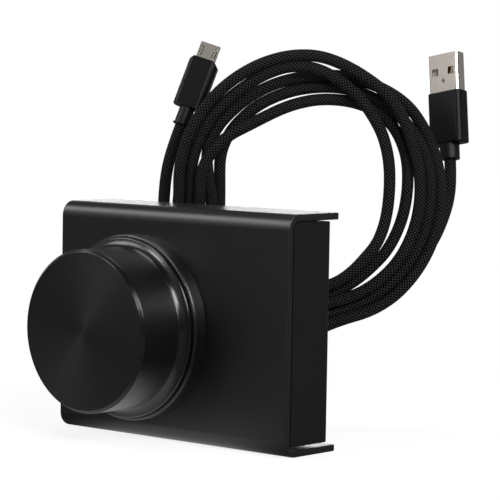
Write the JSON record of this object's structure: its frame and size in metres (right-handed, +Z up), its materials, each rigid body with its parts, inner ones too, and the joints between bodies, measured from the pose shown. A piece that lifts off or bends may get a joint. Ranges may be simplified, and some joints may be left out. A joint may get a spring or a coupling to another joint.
{
  "type": "usb volume control knob",
  "caption": "Upright desktop volume control: large turning and pushing knob on a folded black metal case, with a loose braided USB cable coiled behind it.",
  "frame": {"origin": "on the surface that it stands on, below the middle of the case and knob", "axes": "+Z up, knob faces -Y, +X to the right as seen from the knob's side"},
  "size_m": [0.0984, 0.1306, 0.1298],
  "materials": {
    "cover_coating": "black anodised sheet, satin",
    "chassis_coating": "black powder coat, satin",
    "black_screw_steel": "black oxide",
    "zinc_steel": "zinc plated",
    "ring_anodised": "black anodised, turned",
    "knob_anodised": "black anodised, turned, fine rings",
    "black_plastic": "moulded",
    "beige_plastic": "moulded",
    "white_plastic": "moulded",
    "contact_metal": "spring sheet",
    "shaft_steel": "ground",
    "tin_plating": "tin plated",
    "board_green": "glass-fibre board with solder mask",
    "usb_shell_steel": "nickel plated sheet",
    "gold_contact": "gold plated",
    "chip_resin": "moulded resin",
    "plug_plastic": "moulded, fine texture",
    "sleeve_plastic": "soft moulded",
    "cable_braid": "black braided sleeve"
  },
  "bodies": {
    "case": {"front_cover": "cover_coating", "rear_chassis": "chassis_coating", "cover_screws": "black_screw_steel", "clinch_nuts": "zinc_steel", "base_ring": "ring_anodised", "encoder_frame": "zinc_steel", "encoder_housing": "zinc_steel", "encoder_base": "black_plastic", "detent_spring": "contact_metal", "switch_dome": "contact_metal", "encoder_pins": "tin_plating", "encoder_washer": "zinc_steel", "encoder_nut": "zinc_steel", "main_board": "board_green", "board_standoffs": "zinc_steel", "board_screws": "zinc_steel", "usb_socket_shell": "usb_shell_steel", "usb_socket_insert": "black_plastic", "usb_socket_contacts": "gold_contact", "controller_chip": "chip_resin", "chip_leads": "tin_plating", "crystal": "usb_shell_steel", "capacitors": "beige_plastic", "resistors": "chip_resin", "micro_plug_shell": "usb_shell_steel", "micro_plug_latches": "usb_shell_steel", "micro_plug_insert": "black_plastic", "micro_plug_body": "plug_plastic", "micro_plug_sleeve": "sleeve_plastic", "micro_lead": "cable_braid", "cable_coil": "cable_braid", "usb_a_lead": "cable_braid", "usb_a_sleeve": "sleeve_plastic", "usb_a_body": "plug_plastic", "usb_a_shell": "usb_shell_steel", "usb_a_insert": "white_plastic", "usb_a_contacts": "gold_contact"},
    "rotor": {"encoder_rotor": "beige_plastic"},
    "knob": {"knob_shell": "knob_anodised", "knob_hub": "black_plastic", "encoder_shaft": "shaft_steel"}
  },
  "joints": [
    {"name": "volume_turn", "type": "hinge", "parent": "case", "child": "rotor", "pos_m": [-0.0145, 0.00025, 0.0362], "axis": [0, 1, 0], "continuous": true},
    {"name": "mute_push", "type": "slide", "parent": "rotor", "child": "knob", "axis": [0, 1, 0], "range_m": [0, 0.0005], "stiffness_N_per_m": 2000, "springref_m": -0.001, "deforming": ["switch_dome"]}
  ]
}
